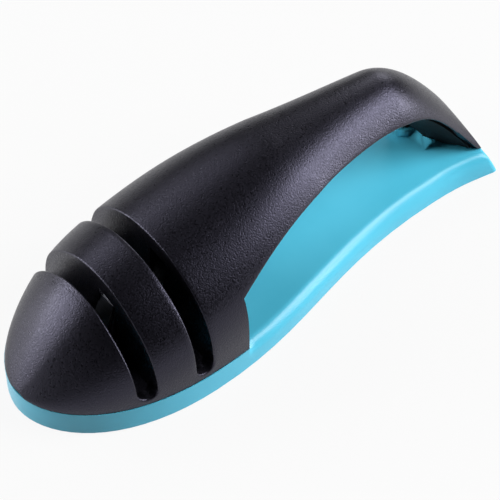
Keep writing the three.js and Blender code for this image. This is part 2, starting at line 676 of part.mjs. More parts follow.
// Black holder for one pair of abrasives: a screwed-down flange, a block and two leaning back walls
function holder(thickness, rearSeat, frontSeat) {
  const drop = ABRASIVE_BELOW * Math.cos(V_HALF_ANGLE) + thickness * Math.sin(V_HALF_ANGLE) + FIT_GAP;
  const foot = -V_HEIGHT;
  const plate = new THREE.Shape();
  const halfX = FLANGE_WIDTH / 2;
  const halfY = FLANGE_LENGTH / 2;
  plate.moveTo(-halfX + FLANGE_CORNER, -halfY);
  plate.absarc(halfX - FLANGE_CORNER, -halfY + FLANGE_CORNER, FLANGE_CORNER, -Math.PI / 2, 0, false);
  plate.absarc(halfX - FLANGE_CORNER, halfY - FLANGE_CORNER, FLANGE_CORNER, 0, Math.PI / 2, false);
  plate.absarc(-halfX + FLANGE_CORNER, halfY - FLANGE_CORNER, FLANGE_CORNER, Math.PI / 2, Math.PI, false);
  plate.absarc(-halfX + FLANGE_CORNER, -halfY + FLANGE_CORNER, FLANGE_CORNER, Math.PI, 1.5 * Math.PI, false);
  const options = { depth: FLANGE_HEIGHT, bevelEnabled: false, curveSegments: 4 };
  const flange = solidOf(new THREE.ExtrudeGeometry(plate, options).translate(0, 0, foot));
  const blockHalf = FLANGE_WIDTH / 2 - BLOCK_SETBACK;
  const block = box(-blockHalf, blockHalf, -HOLDER_HALF, HOLDER_HALF, foot, -drop);
  const postTop = foot + SCREW_BITE + SCREW_DEPTH_SPARE + POST_WALL;
  const posts = [-HOLDER_SCREW_Y, HOLDER_SCREW_Y].map((y) => upright(0, y, SCREW_POST_RADIUS, foot, postTop));
  const holes = [-HOLDER_SCREW_Y, HOLDER_SCREW_Y].map((y) => (
    upright(0, y, SCREW_HOLE_RADIUS, foot - OVERCUT, foot + SCREW_BITE + SCREW_DEPTH_SPARE)
  ));
  const floor = box(-FLANGE_WIDTH, FLANGE_WIDTH, -halfY, halfY, foot - ABRASIVE_BELOW - thickness, foot);
  const body = joined([flange, block, ...posts, rearSeat, halfTurn(frontSeat)]);
  return body.subtract(joined([floor, ...holes]));
}

const WALL_FOOT = -ABRASIVE_BELOW - WALL_SINK;
const REAR_WALL_TOP = ABRASIVE_ABOVE + REAR_WALL_PROUD;
const FRONT_WALL_TOP = ABRASIVE_ABOVE - FRONT_WALL_SHORT;

// Coarse pair: flat carbide plates side by side across the slot, leaning opposite ways
function coarseSeat(top) {
  const back = PLATE_THICKNESS + FIT_GAP;
  const outer = -FIT_GAP / 2 - PLATE_WIDTH - FIT_GAP;
  const wall = leaning(back, back + BACK_WALL, outer - CHEEK, -FIT_GAP / 2, WALL_FOOT, top);
  return wall.add(leaning(CHEEK_SETBACK, back + BACK_WALL, outer - CHEEK, outer, WALL_FOOT, top));
}

function coarseHolder() {
  return holder(PLATE_THICKNESS, coarseSeat(REAR_WALL_TOP), coarseSeat(FRONT_WALL_TOP));
}

function coarsePlate() {
  const near = -FIT_GAP / 2;
  return leaning(0, PLATE_THICKNESS, near - PLATE_WIDTH, near, -ABRASIVE_BELOW, ABRASIVE_ABOVE);
}

// Fine pair: round ceramic rods, each lying in a hollow along its back wall
function rod(radius, up0, up1) {
  const geometry = new THREE.CylinderGeometry(radius, radius, up1 - up0, ROUND_SIDES);
  geometry.rotateX(Math.PI / 2).translate(ROD_DIAMETER / 2, -(FIT_GAP + ROD_DIAMETER) / 2, (up0 + up1) / 2);
  return solidOf(geometry.rotateY(V_HALF_ANGLE));
}

function fineSeat(top) {
  const outer = -ROD_DIAMETER - 2 * FIT_GAP - CHEEK;
  const back = ROD_DIAMETER + FIT_GAP + BACK_WALL;
  const wall = leaning(ROD_SHOWN, back, outer, -FIT_GAP / 2, WALL_FOOT, top);
  return wall.subtract(rod(ROD_DIAMETER / 2 + FIT_GAP, 2 * WALL_FOOT, 2 * top));
}

function fineHolder() {
  return holder(ROD_DIAMETER, fineSeat(REAR_WALL_TOP), fineSeat(FRONT_WALL_TOP));
}

// Pan-head screw driven up from below; its head bears on the deck's underside
function screw() {
  const headRadius = SCREW_HEAD_DIAMETER / 2;
  const shank = SCREW_DIAMETER / 2;
  const tip = DECK_THICKNESS + SCREW_BITE;
  const profile = [
    [0, -SCREW_HEAD_HEIGHT],
    [SCREW_HEAD_FLAT / 2, -SCREW_HEAD_HEIGHT],
    [headRadius, -SCREW_HEAD_EDGE],
    [headRadius, 0],
    [shank, 0],
    [shank, tip - SCREW_DIAMETER / 2],
    [0, tip],
  ].map(([radius, height]) => new THREE.Vector2(radius, height));
  return solidOf(new THREE.LatheGeometry(profile, SMALL_ROUND_SIDES).rotateX(Math.PI / 2));
}

// Rubber foot: a plug with a softened lower edge
function foot() {
  const radius = FOOT_DIAMETER / 2;
  const profile = [
    [0, 0],
    [radius - FOOT_EDGE, 0],
    [radius, FOOT_EDGE],
    [radius, FOOT_HEIGHT],
    [0, FOOT_HEIGHT],
  ].map(([across, height]) => new THREE.Vector2(across, height));
  return solidOf(new THREE.LatheGeometry(profile, ROUND_SIDES).rotateX(Math.PI / 2));
}

// Assembly

function stage(x, pieces) {
  const group = new THREE.Group();
  group.position.set(x, 0, DECK_Z + V_HEIGHT);
  group.add(...pieces);
  return group;
}

const sharpener = new THREE.Group();
sharpener.name = 'knife_sharpener';
sharpener.position.x = -BASE_LENGTH / 2;

sharpener.add(meshOf('base_plate', basePlate(), FINISH.bluePlastic));
sharpener.add(meshOf('cover', cover(), FINISH.blackPlastic));
sharpener.add(meshOf('handle_liner', handleLiner(), FINISH.blackPlastic));

sharpener.add(stage(COARSE_X, [
  meshOf('coarse_holder', coarseHolder(), FINISH.blackPlastic),
  meshOf('coarse_plate_near', coarsePlate(), FINISH.carbide),
  meshOf('coarse_plate_far', halfTurn(coarsePlate()), FINISH.carbide),
]));
const rodSolid = rod(ROD_DIAMETER / 2, -ABRASIVE_BELOW, ABRASIVE_ABOVE);
sharpener.add(stage(FINE_X, [
  meshOf('fine_holder', fineHolder(), FINISH.blackPlastic),
  meshOf('fine_rod_near', rodSolid, FINISH.ceramic),
  meshOf('fine_rod_far', halfTurn(rodSolid), FINISH.ceramic),
]));

const screwRows = [['cover_screw', COVER_SCREWS], ['holder_screw', HOLDER_SCREWS]];
for (const [kind, places] of screwRows) {
  for (const [place, [x, y]] of Object.entries(places)) {
    const mesh = meshOf(`${kind}_${place}`, screw(), FINISH.steel);
    mesh.position.set(x, y, DECK_UNDER_Z - SEAT_GAP);
    sharpener.add(mesh);
  }
}

for (const [place, [x, y]] of Object.entries(FEET)) {
  const mesh = meshOf(`foot_${place}`, foot(), FINISH.rubber);
  mesh.position.set(x, y, 0);
  sharpener.add(mesh);
}

export default sharpener;
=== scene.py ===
import math

import bmesh
import bpy
import numpy as np
from mathutils import Matrix, Vector


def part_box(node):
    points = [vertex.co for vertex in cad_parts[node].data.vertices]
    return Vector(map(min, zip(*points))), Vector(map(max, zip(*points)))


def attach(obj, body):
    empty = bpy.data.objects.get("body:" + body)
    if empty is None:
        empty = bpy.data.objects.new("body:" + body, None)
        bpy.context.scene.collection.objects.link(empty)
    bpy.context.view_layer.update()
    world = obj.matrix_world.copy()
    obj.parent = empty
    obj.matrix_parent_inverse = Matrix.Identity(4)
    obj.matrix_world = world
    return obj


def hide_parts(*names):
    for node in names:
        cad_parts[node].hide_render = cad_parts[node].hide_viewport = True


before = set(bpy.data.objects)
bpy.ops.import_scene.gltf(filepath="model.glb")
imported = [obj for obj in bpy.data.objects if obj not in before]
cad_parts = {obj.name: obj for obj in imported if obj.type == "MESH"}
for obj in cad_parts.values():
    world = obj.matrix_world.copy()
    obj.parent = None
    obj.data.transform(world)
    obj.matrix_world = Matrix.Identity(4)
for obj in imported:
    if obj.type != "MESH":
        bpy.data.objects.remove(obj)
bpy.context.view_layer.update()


# Base tray: cyan ABS, injection moulded, open below. An upright edge stands under the cover and rolls
# over round the open deck, more and more towards the raked tail. It keeps the CAD shape, shaded smooth.
MM = 0.001
# A mix node's sockets repeat their names, so its colour ones go by number
MIX_SHARE, MIX_A, MIX_B, MIX_OUT = 0, 6, 7, 2


def linear(code):
    """Linear colour of an sRGB hex value."""
    shares = [int(code[i:i + 2], 16) / 255 for i in (1, 3, 5)]
    return [s / 12.92 if s <= 0.04045 else ((s + 0.055) / 1.055) ** 2.4 for s in shares] + [1]


def add(tree, kind, inputs={}, **settings):
    """One node with its settings; an input takes a value or the socket that feeds it."""
    node = tree.nodes.new(kind)
    for name, value in settings.items():
        setattr(node, name, value)
    for name, value in inputs.items():
        if isinstance(value, bpy.types.NodeSocket):
            tree.links.new(value, node.inputs[name])
        else:
            node.inputs[name].default_value = value
    return node


def new_finish(name):
    """An empty material and its node tree."""
    finish = bpy.data.materials.new(name)
    finish.use_nodes = True
    finish.node_tree.nodes.clear()
    return finish, finish.node_tree


def sharpen(mesh, angle):
    """Smooth shading, broken along edges that turn more than the angle."""
    mesh.shade_smooth()
    mesh.set_sharp_from_angle(angle=math.radians(angle))


def settle(name, bm, finish, nodes, sharp):
    """A finished mesh becomes a piece that stands for its CAD nodes."""
    mesh = bpy.data.meshes.new(name)
    bm.to_mesh(mesh)
    bm.free()
    mesh.materials.append(finish)
    sharpen(mesh, sharp)
    piece = bpy.data.objects.new(name, mesh)
    bpy.context.scene.collection.objects.link(piece)
    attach(piece, "root")
    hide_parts(*nodes)
    return piece


bm = bmesh.new()
bm.from_mesh(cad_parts["base_plate"].data)
bmesh.ops.remove_doubles(bm, verts=bm.verts, dist=1e-6)
bmesh.ops.dissolve_limit(bm, angle_limit=math.radians(0.5), verts=bm.verts, edges=bm.edges)

# Moulded ABS: even cyan, semi-gloss, with the faint unevenness that a polished mould and its flow leave.
# The ripple is 3 mm long and the mottling 25 mm, both real sizes.
blue_abs, tree = new_finish("cyan moulded ABS, semi-gloss")
place = add(tree, "ShaderNodeTexCoord").outputs["Object"]
flow = add(tree, "ShaderNodeTexNoise", {"Vector": place, "Scale": 1 / (25 * MM), "Detail": 3.0})
tint = add(tree, "ShaderNodeMix", {
    MIX_SHARE: flow.outputs["Fac"], MIX_A: linear("#47b5d3"), MIX_B: linear("#58c7e5")}, data_type="RGBA")
ripple = add(tree, "ShaderNodeTexNoise", {"Vector": place, "Scale": 1 / (3 * MM), "Detail": 2.0})
relief = add(tree, "ShaderNodeBump", {
    "Height": ripple.outputs["Fac"], "Strength": 0.35, "Distance": 0.02 * MM})
gloss = add(tree, "ShaderNodeMapRange", {"Value": flow.outputs["Fac"], "To Min": 0.26, "To Max": 0.34})
shader = add(tree, "ShaderNodeBsdfPrincipled", {
    "Base Color": tint.outputs[MIX_OUT], "Roughness": gloss.outputs["Result"],
    "Normal": relief.outputs["Normal"], "IOR": 1.53, "Specular IOR Level": 0.35})
add(tree, "ShaderNodeOutputMaterial", {"Surface": shader.outputs["BSDF"]})

base = settle("base_tray", bm, blue_abs, ["base_plate"], 35)
even = base.modifiers.new("even faces", "WEIGHTED_NORMAL")
even.keep_sharp = True


# Cover: black ABS with a fine spark-eroded grain, one thin moulding from the nose over the handle to the
# raked tail. Two saw-like knife slots are cut through it, with guide flanges turned in along them.
# Sizes in mm: lengths run back from the nose, heights up from the deck.
NOSE_X = -101.0
DECK_Z = 10.8
COVER_INSET = 0.3
COVER_WALL = 2.2
NOSE_TIP = (0.4, 1.2)
SHOULDER = (60.0, 41.5)
PEAK = (114.0, 49.5)
TAIL_BEND = (158.0, 48.9)
POST_X = 197.0
POST_HEIGHT = 7.0
POST_HALF = 16.4
POST_TIP = 1.2
WIDEST = (58.0, 35.6)
SLOTS = (32.0, 53.5)
SLOT_HALF = 3.4
SLOT_SILL = 2.5
LIP = 0.7
LIP_TURNS = (30, 60, 90)
MOUTH = SLOT_HALF + LIP
REAR_FLANGE = 5.5
FRONT_FLANGE = 3.2
STEP_X = 72.5
FINGER_HEIGHT = 25.0
ARCH = (130.0, 40.0)
RAKE = 0.46
RAKE_FROM = 150.0
# Powers of the arched cross-section, at the nose, the peak and the tail
SIDE_POWERS = (1.4, 2.05, 1.95)
TOP_POWERS = (1.85, 4.25, 2.5)
ROUND_POWER = 2
CROWN_ONSET = 12


def sweep(start, end, handles, steps=160):
    """Points on a curve whose two handles are shares of its run and of its rise."""
    bends = [[a + (b - a) * s for a, b, s in zip(start, end, shares)] for shares in handles]
    t = np.linspace(0, 1, steps)[:, None]
    corners = [np.array(p) for p in (start, *bends, end)]
    weights = ((1 - t) ** 3, 3 * t * (1 - t) ** 2, 3 * t * t * (1 - t), t ** 3)
    return sum(w * p for w, p in zip(weights, corners))


crest_line = np.concatenate([
    sweep(NOSE_TIP, SHOULDER, ((0.463, 0.975), (0.58, 0.864))),
    sweep(SHOULDER, PEAK, ((0.72, 0.94), (0.805, 1)))[1:],
    sweep(PEAK, TAIL_BEND, ((0.386, -0.67), (0.727, -0.67)))[1:],
    sweep(TAIL_BEND, (POST_X, POST_HEIGHT), ((0.282, 0.0215), (0.615, 0.439)))[1:],
])
flank_line = np.concatenate([
    sweep((0, 0), WIDEST, ((0, 0.43), (0.31, 1))) - (0, COVER_INSET),
    sweep((WIDEST[0], WIDEST[1] - COVER_INSET), (POST_X, POST_HALF), ((0.355, 0), (0.29, 0.76)))[1:],
])
arch_line = np.concatenate([
    sweep((STEP_X, FINGER_HEIGHT), ARCH, ((0.165, 0.4), (0.435, 1))),
    sweep(ARCH, (POST_X - POST_TIP, 0), ((0.62, 0), (0.665, 0.19)))[1:],
    [(POST_X, 0)],
])


def on(line, x):
    """Height of a line over x."""
    return np.interp(x, line[:, 0], line[:, 1])


def powers(x):
    """Powers of the arched cross-section, for its sides and its top."""
    spots = (0, PEAK[0], POST_X)
    return np.interp(x, spots, SIDE_POWERS), np.interp(x, spots, TOP_POWERS)


# Stations along the cover, closer together at the tip of the nose and at the sides of the slots
slot_turn = np.sin(np.linspace(-math.pi / 2, math.pi / 2, 13))
stations = np.concatenate([
    NOSE_TIP[0] + (SLOTS[0] - MOUTH - NOSE_TIP[0]) * np.linspace(0, 1, 29)[:-1] ** 1.8,
    SLOTS[0] + MOUTH * slot_turn,
    np.linspace(SLOTS[0] + MOUTH, SLOTS[1] - MOUTH, 11)[1:-1],
    SLOTS[1] + MOUTH * slot_turn,
    np.linspace(SLOTS[1] + MOUTH, STEP_X, 12)[1:-1],
    np.linspace(STEP_X, POST_X, 82),
])
SILL_ROW, ARCH_ROW, CREST_ROW = 4, 14, 42
SILL_SHARE = 0.35
step_column = int(np.argmin(abs(stations - STEP_X)))

# Lower edge of each slot, and the line that becomes the handle's lower edge behind the finger gap
sill = np.full(len(stations), SLOT_SILL + SLOT_HALF)
for slot in SLOTS:
    inside = abs(stations - slot) <= MOUTH
    offset = np.clip(stations - slot, -MOUTH, MOUTH)
    sill = np.where(inside, SLOT_SILL + SLOT_HALF - np.sqrt(MOUTH ** 2 - offset ** 2), sill)
step_share = FINGER_HEIGHT / on(crest_line, STEP_X)
step_angle = math.asin(step_share ** (powers(STEP_X)[1] / 2))

# The last stations lean over until the tail end lies in the raked plane. The lean follows the height and
# the height the lean, so the two settle over many passes.
rows = np.arange(CREST_ROW + 1)
lean = RAKE * np.clip((stations - RAKE_FROM) / (POST_X - RAKE_FROM), 0, 1)[:, None] ** 2
x = np.repeat(stations[:, None], CREST_ROW + 1, 1)
for _ in range(60):
    side_power, top_power = powers(x)
    crest = on(crest_line, x)
    front_arch = crest * math.sin(step_angle) ** (2 / top_power)
    arch = np.where(x < STEP_X - 1e-6, front_arch, on(arch_line, x))
    low = np.minimum(sill[:, None], SILL_SHARE * arch)
    height = np.where(rows < SILL_ROW, low * rows / SILL_ROW,
                      low + (arch - low) * (rows - SILL_ROW) / (ARCH_ROW - SILL_ROW))
    arch_angle = np.arcsin(np.clip(arch / crest, 0, 1) ** (top_power / 2))
    share = np.clip((rows - ARCH_ROW) / (CREST_ROW - ARCH_ROW), 0, 1)
    angle = arch_angle + (math.pi / 2 - arch_angle) * share
    upper = crest * np.sin(angle) ** (2 / top_power)
    z = np.where(rows > ARCH_ROW, upper, height)
    x = 0.5 * x + 0.5 * (stations[:, None] - lean * z)

# Close to the crest the section turns round, which keeps a crease off the nose
side_power, top_power = powers(x)
share = np.clip(z / on(crest_line, x), 0, 1)
crown_power = side_power + np.clip(ROUND_POWER - side_power, 0, 1) * share ** CROWN_ONSET
y = on(flank_line, x) * (1 - share ** top_power) ** (1 / crown_power)

bm = bmesh.new()
columns = len(stations) - 1
bmesh.ops.create_grid(bm, x_segments=columns, y_segments=2 * CREST_ROW, size=1)
at_column = bm.verts.layers.int.new("column")
at_row = bm.verts.layers.int.new("row")
for vert in bm.verts:
    column = round((vert.co.x + 1) / 2 * columns)
    across = round((vert.co.y + 1) * CREST_ROW)
    row = min(across, 2 * CREST_ROW - across)
    vert[at_column], vert[at_row] = column, row
    left = -1 if across < CREST_ROW else 1
    vert.co = Vector((NOSE_X + x[column, row], left * y[column, row], DECK_Z + z[column, row])) * MM

slot_columns = [[int(np.argmin(abs(stations - slot - half))) for half in (-MOUTH, MOUTH)]
                for slot in SLOTS]
gone = []
for face in bm.faces:
    first = min(v[at_column] for v in face.verts)
    lowest = min(v[at_row] for v in face.verts)
    in_slot = any(a <= first < b for a, b in slot_columns) and lowest >= SILL_ROW
    in_gap = first >= step_column and lowest < ARCH_ROW
    if in_slot or in_gap:
        gone.append(face)
bmesh.ops.delete(bm, geom=gone, context="FACES")


# The skin's open edges are turned in over a rounded lip. Along the slots the lip runs on into a guide
# flange, deeper on the side towards the handle.
def turn_in(edges, slot=None):
    """Draws edges of the skin in, across a slot, or downwards without one."""
    root = {}
    for vert in {v for e in edges for v in e.verts}:
        root[vert] = vert.co.copy(), Vector((0, vert.normal.y, vert.normal.z)).normalized()
    draws = [(angle, 0) for angle in LIP_TURNS] + ([(LIP_TURNS[-1], 1)] if slot else [])
    for angle, flange in draws:
        drawn = bmesh.ops.extrude_edge_only(bm, edges=edges)["geom"]
        fresh = {g for g in drawn if isinstance(g, bmesh.types.BMVert)}
        edges = [g for g in drawn if isinstance(g, bmesh.types.BMEdge)]
        turn = math.radians(angle)
        across, inward = LIP * math.sin(turn), LIP * (1 - math.cos(turn))
        for vert in fresh:
            old = (e.other_vert(vert) for e in vert.link_edges)
            place, square = root[vert] = root[next(v for v in old if v in root and v not in fresh)]
            climb = Vector((0, square.z, -square.y)) * (1 if square.y < 0 else -1)
            way = -climb
            depth = inward
            if slot:
                share = max(-1, min(1, (place.x / MM - NOSE_X - slot) / MOUTH))
                way = Vector((-share, 0, 0)) + climb * math.sqrt(1 - share ** 2)
                full = FRONT_FLANGE + (REAR_FLANGE - FRONT_FLANGE) * (share + 1) / 2
                depth = inward + (full - inward) * flange
            vert.co = place + (way * across - square * depth) * MM


ARCH_LIP_END = columns - 4
bm.normal_update()
for (first, last), slot in zip(slot_columns, SLOTS):
    turn_in([e for e in bm.edges if e.is_boundary
             and all(first <= v[at_column] <= last and v[at_row] >= SILL_ROW for v in e.verts)], slot)
turn_in([e for e in bm.edges if e.is_boundary
         and all(v[at_row] == ARCH_ROW and step_column <= v[at_column] <= ARCH_LIP_END for v in e.verts)])

# Behind each slot a wall with a doorway for the holder, and under it a floor beside the holder's foot
DOOR_HALF, FOOT_HALF, FOOT_TOP, BLOCK_TOP = 9.6, 17.3, 3.3, 7.0
WALL_GAP, WALL_INSET, FLOOR_INSET = 0.02, 1.0, 1.5
for slot in SLOTS:
    wall_x = slot + SLOT_HALF + WALL_GAP
    flank = on(flank_line, wall_x)
    half = flank - WALL_INSET
    side_power, top_power = powers(wall_x)
    for vert in bmesh.ops.create_grid(bm, x_segments=80, y_segments=1, size=1)["verts"]:
        across = abs(vert.co.x) * half
        skin = on(crest_line, wall_x) * (1 - (across / flank) ** side_power) ** (1 / top_power)
        roof = skin - WALL_INSET
        door_top = roof - REAR_FLANGE if vert.co.x > 0 else BLOCK_TOP
        foot_top = 0 if across > FOOT_HALF else FOOT_TOP if across > DOOR_HALF else door_top
        level = roof if vert.co.y > 0 else min(foot_top, roof)
        vert[at_column] = -1
        vert.co = Vector((NOSE_X + wall_x, -vert.co.x * half, DECK_Z + level)) * MM
    for left in (-1, 1):
        for vert in bmesh.ops.create_grid(bm, x_segments=1, y_segments=1, size=1)["verts"]:
            along = slot + left * vert.co.x * SLOT_HALF
            across = FOOT_HALF if vert.co.y < 0 else on(flank_line, slot) - FLOOR_INSET
            vert[at_column] = -1
            vert.co = Vector((NOSE_X + along, left * across, DECK_Z + SLOT_SILL)) * MM

# Raked end of the handle, and the small blunt face at the nose
for end in (columns, 0):
    ring = [e for e in bm.edges if e.is_boundary and all(v[at_column] == end for v in e.verts)]
    on_deck = {v for e in ring for v in e.verts if v.co.z < (DECK_Z + 0.01) * MM}
    corners = sorted(on_deck, key=lambda v: v.co.y)
    bmesh.ops.edgeloop_fill(bm, edges=ring + [bm.edges.new((corners[0], corners[-1]))])

# Spark-eroded black ABS: a satin skin of tiny pits that scatter the light into a soft grey sheen.
# The real pits are 0.2 mm wide; they are drawn at 0.55 mm so that they show in the render.
black_abs, tree = new_finish("black ABS, spark-eroded satin grain")
place = add(tree, "ShaderNodeTexCoord").outputs["Object"]
pits = add(tree, "ShaderNodeTexNoise", {"Vector": place, "Scale": 1 / (0.55 * MM), "Detail": 1.5})
tint = add(tree, "ShaderNodeMix", {
    MIX_SHARE: pits.outputs["Fac"], MIX_A: linear("#030304"), MIX_B: linear("#09080b")}, data_type="RGBA")
relief = add(tree, "ShaderNodeBump", {
    "Height": pits.outputs["Fac"], "Strength": 0.6, "Distance": 0.2 * MM})
gloss = add(tree, "ShaderNodeMapRange", {
    "Value": pits.outputs["Fac"], "From Min": 0.3, "From Max": 0.7, "To Min": 0.25, "To Max": 0.48})
shader = add(tree, "ShaderNodeBsdfPrincipled", {
    "Base Color": tint.outputs[MIX_OUT], "Roughness": gloss.outputs["Result"],
    "Normal": relief.outputs["Normal"], "IOR": 1.53, "Specular Tint": linear("#dcd9ff")})
add(tree, "ShaderNodeOutputMaterial", {"Surface": shader.outputs["BSDF"]})

shell = settle("cover_shell", bm, black_abs, ["cover"], 30)
wall = shell.modifiers.new("wall", "SOLIDIFY")
wall.thickness = COVER_WALL * MM
wall.offset = -1
wall.use_even_offset = True
wall.use_quality_normals = True
mesh = bpy.data.meshes.new_from_object(shell.evaluated_get(bpy.context.evaluated_depsgraph_get()))
shell.modifiers.clear()
shell.data = mesh
sharpen(mesh, 38)


# Handle liner: black ABS, a moulded strip inside the cover that closes the handle below. It makes the wall
# behind the slots, the rounded belly that the fingers close on, the front of the tail post and its peg.
LINER_WALL = 2.0
LINER_GAP = 2.3
LEAST_HALF = 1.0
SEAT_GAP = 0.05
BELLY_DEPTH = 9.3
BELLY_RUN_IN = 50.0
BELLY_POWER_HANDLE, BELLY_POWER_POST = 2.0, 1.2
BELLY_ROWS = 48
FRONT_ROWS = 12
ARCH_SKIP = 4
PEG_X, PEG_Y = 181.5, 9.8
PEG = [(0, 14.65), (3.9, 14.65), (4.2, 14.95), (4.2, 24), (0, 24)]


def reach(x, height):
    """Half-width of the cover at a height above the deck."""
    side_power, top_power = powers(x)
    share = np.clip(height / on(crest_line, x), 0, 1)
    return on(flank_line, x) * (1 - share ** top_power) ** (1 / side_power)


def ease(run):
    """A smooth rise from 0 to 1, over a run cut off at 0 and 1."""
    run = np.clip(run, 0, 1)
    return run ** 2 * (3 - 2 * run)


def turned(bm, x, y, profile, steps):
    """A round body: a profile of radius and height, from axis to axis, spun about an upright axis."""
    verts = [bm.verts.new(((x + r) * MM, y * MM, z * MM)) for r, z in profile]
    edges = [bm.edges.new(pair) for pair in zip(verts, verts[1:])]
    bmesh.ops.spin(bm, geom=verts + edges, cent=(x * MM, y * MM, 0), axis=(0, 0, 1),
                   angle=math.tau, steps=steps, use_merge=True)
    bmesh.ops.remove_doubles(bm, verts=bm.verts, dist=1e-7)


# The strip's path up the wall and along the arch, and the way in which its belly hangs off that path
front_wall = np.stack([np.full(FRONT_ROWS, STEP_X), np.linspace(0, FINGER_HEIGHT, FRONT_ROWS)], 1)
path = np.concatenate([front_wall, arch_line[:-1][::ARCH_SKIP]])
slope = np.gradient(arch_line[:-1], axis=0)[::ARCH_SKIP]
down = np.stack([slope[:, 1], -slope[:, 0]], 1)
down /= np.linalg.norm(down, axis=1)[:, None]
down = np.concatenate([np.tile((1.0, 0.0), (FRONT_ROWS, 1)), down])
belly_depth = BELLY_DEPTH * ease((path[:, 0] - STEP_X) / BELLY_RUN_IN)
to_post = ease((path[:, 0] - ARCH[0]) / (POST_X - ARCH[0]))
belly_power = BELLY_POWER_HANDLE + (BELLY_POWER_POST - BELLY_POWER_HANDLE) * to_post
edge_half = reach(path[:, 0], path[:, 1])

bm = bmesh.new()
bmesh.ops.create_grid(bm, x_segments=len(path) - 1, y_segments=BELLY_ROWS, size=1)
for vert in bm.verts:
    column = round((vert.co.x + 1) / 2 * (len(path) - 1))
    across = vert.co.y * max(edge_half[column] - LINER_GAP, LEAST_HALF)
    sag = 1 - abs(across / edge_half[column]) ** belly_power[column]
    x, z = path[column] + down[column] * belly_depth[column] * sag
    vert.co = Vector((NOSE_X + x, across, DECK_Z + max(z, SEAT_GAP))) * MM
bmesh.ops.remove_doubles(bm, verts=bm.verts, dist=1e-6)
bm.normal_update()
bmesh.ops.reverse_faces(bm, faces=bm.faces)
bmesh.ops.solidify(bm, geom=bm.faces[:], thickness=LINER_WALL * MM)
turned(bm, NOSE_X + PEG_X, PEG_Y, PEG, 40)
bmesh.ops.recalc_face_normals(bm, faces=bm.faces)

# Matt black ABS, as moulded for the inside: duller than the cover, so it stays dark under the handle.
# Its real grain is about as fine as the cover's and is drawn at 0.6 mm so that it shows.
matt_abs, tree = new_finish("black ABS, matt grain")
place = add(tree, "ShaderNodeTexCoord").outputs["Object"]
pits = add(tree, "ShaderNodeTexNoise", {"Vector": place, "Scale": 1 / (0.6 * MM), "Detail": 2.0})
tint = add(tree, "ShaderNodeMix", {
    MIX_SHARE: pits.outputs["Fac"], MIX_A: linear("#050506"), MIX_B: linear("#0e0d10")}, data_type="RGBA")
relief = add(tree, "ShaderNodeBump", {
    "Height": pits.outputs["Fac"], "Strength": 0.6, "Distance": 0.2 * MM})
shader = add(tree, "ShaderNodeBsdfPrincipled", {
    "Base Color": tint.outputs[MIX_OUT], "Roughness": 0.65, "Normal": relief.outputs["Normal"],
    "IOR": 1.53, "Specular IOR Level": 0.12})
add(tree, "ShaderNodeOutputMaterial", {"Surface": shader.outputs["BSDF"]})

settle("handle_belly", bm, matt_abs, ["handle_liner"], 40)


# Holders: moulded blocks of the cover's black ABS, screwed to the deck, with leaning back walls that carry
# the abrasives. They keep the CAD shape, with their edges rounded.
EDGE_ROUND = 0.25
for name in ("coarse_holder", "fine_holder"):
    bm = bmesh.new()
    bm.from_mesh(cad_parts[name].data)
    bmesh.ops.remove_doubles(bm, verts=bm.verts, dist=1e-6)
    bmesh.ops.dissolve_limit(bm, angle_limit=math.radians(1), verts=bm.verts, edges=bm.edges)
    block = settle(name + "_block", bm, black_abs, [name], 30)
    edges = block.modifiers.new("edges", "BEVEL")
    edges.width = EDGE_ROUND * MM
    edges.segments = 2
    edges.limit_method = "ANGLE"
    edges.angle_limit = math.radians(40)
    edges.profile = 0.5


# Carbide plates: two flat plates of sintered tungsten carbide, ground to size, that lean against the
# coarse holder's back walls and cross in a V. They are the CAD solids.
LINE_PITCH, LINE_LENGTH = 0.25, 5.0

# Ground carbide: a grey metal with a soft streaky gleam, from the straight lines that grinding leaves.
# The lines run across the tool and are drawn 0.25 mm apart so that they show.
carbide, tree = new_finish("ground tungsten carbide")
place = add(tree, "ShaderNodeTexCoord").outputs["Object"]
stretch = add(tree, "ShaderNodeMapping", {
    "Vector": place, "Scale": [1 / (size * MM) for size in (LINE_PITCH, LINE_LENGTH, LINE_PITCH)]})
lines = add(tree, "ShaderNodeTexNoise", {
    "Vector": stretch.outputs["Vector"], "Scale": 1.0, "Detail": 2.0})
tint = add(tree, "ShaderNodeMix", {
    MIX_SHARE: lines.outputs["Fac"], MIX_A: linear("#85888d"), MIX_B: linear("#b9bcc0")}, data_type="RGBA")
gloss = add(tree, "ShaderNodeMapRange", {"Value": lines.outputs["Fac"], "To Min": 0.28, "To Max": 0.45})
shader = add(tree, "ShaderNodeBsdfPrincipled", {
    "Base Color": tint.outputs[MIX_OUT], "Roughness": gloss.outputs["Result"], "Metallic": 1.0})
add(tree, "ShaderNodeOutputMaterial", {"Surface": shader.outputs["BSDF"]})
for name in ("coarse_plate_near", "coarse_plate_far"):
    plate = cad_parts[name]
    plate.data.materials.clear()
    plate.data.materials.append(carbide)


# Ceramic rods: two round rods of sintered alumina, dark grey, that lie in hollows along the fine holder's
# back walls and cross in a V. They are the CAD solids.

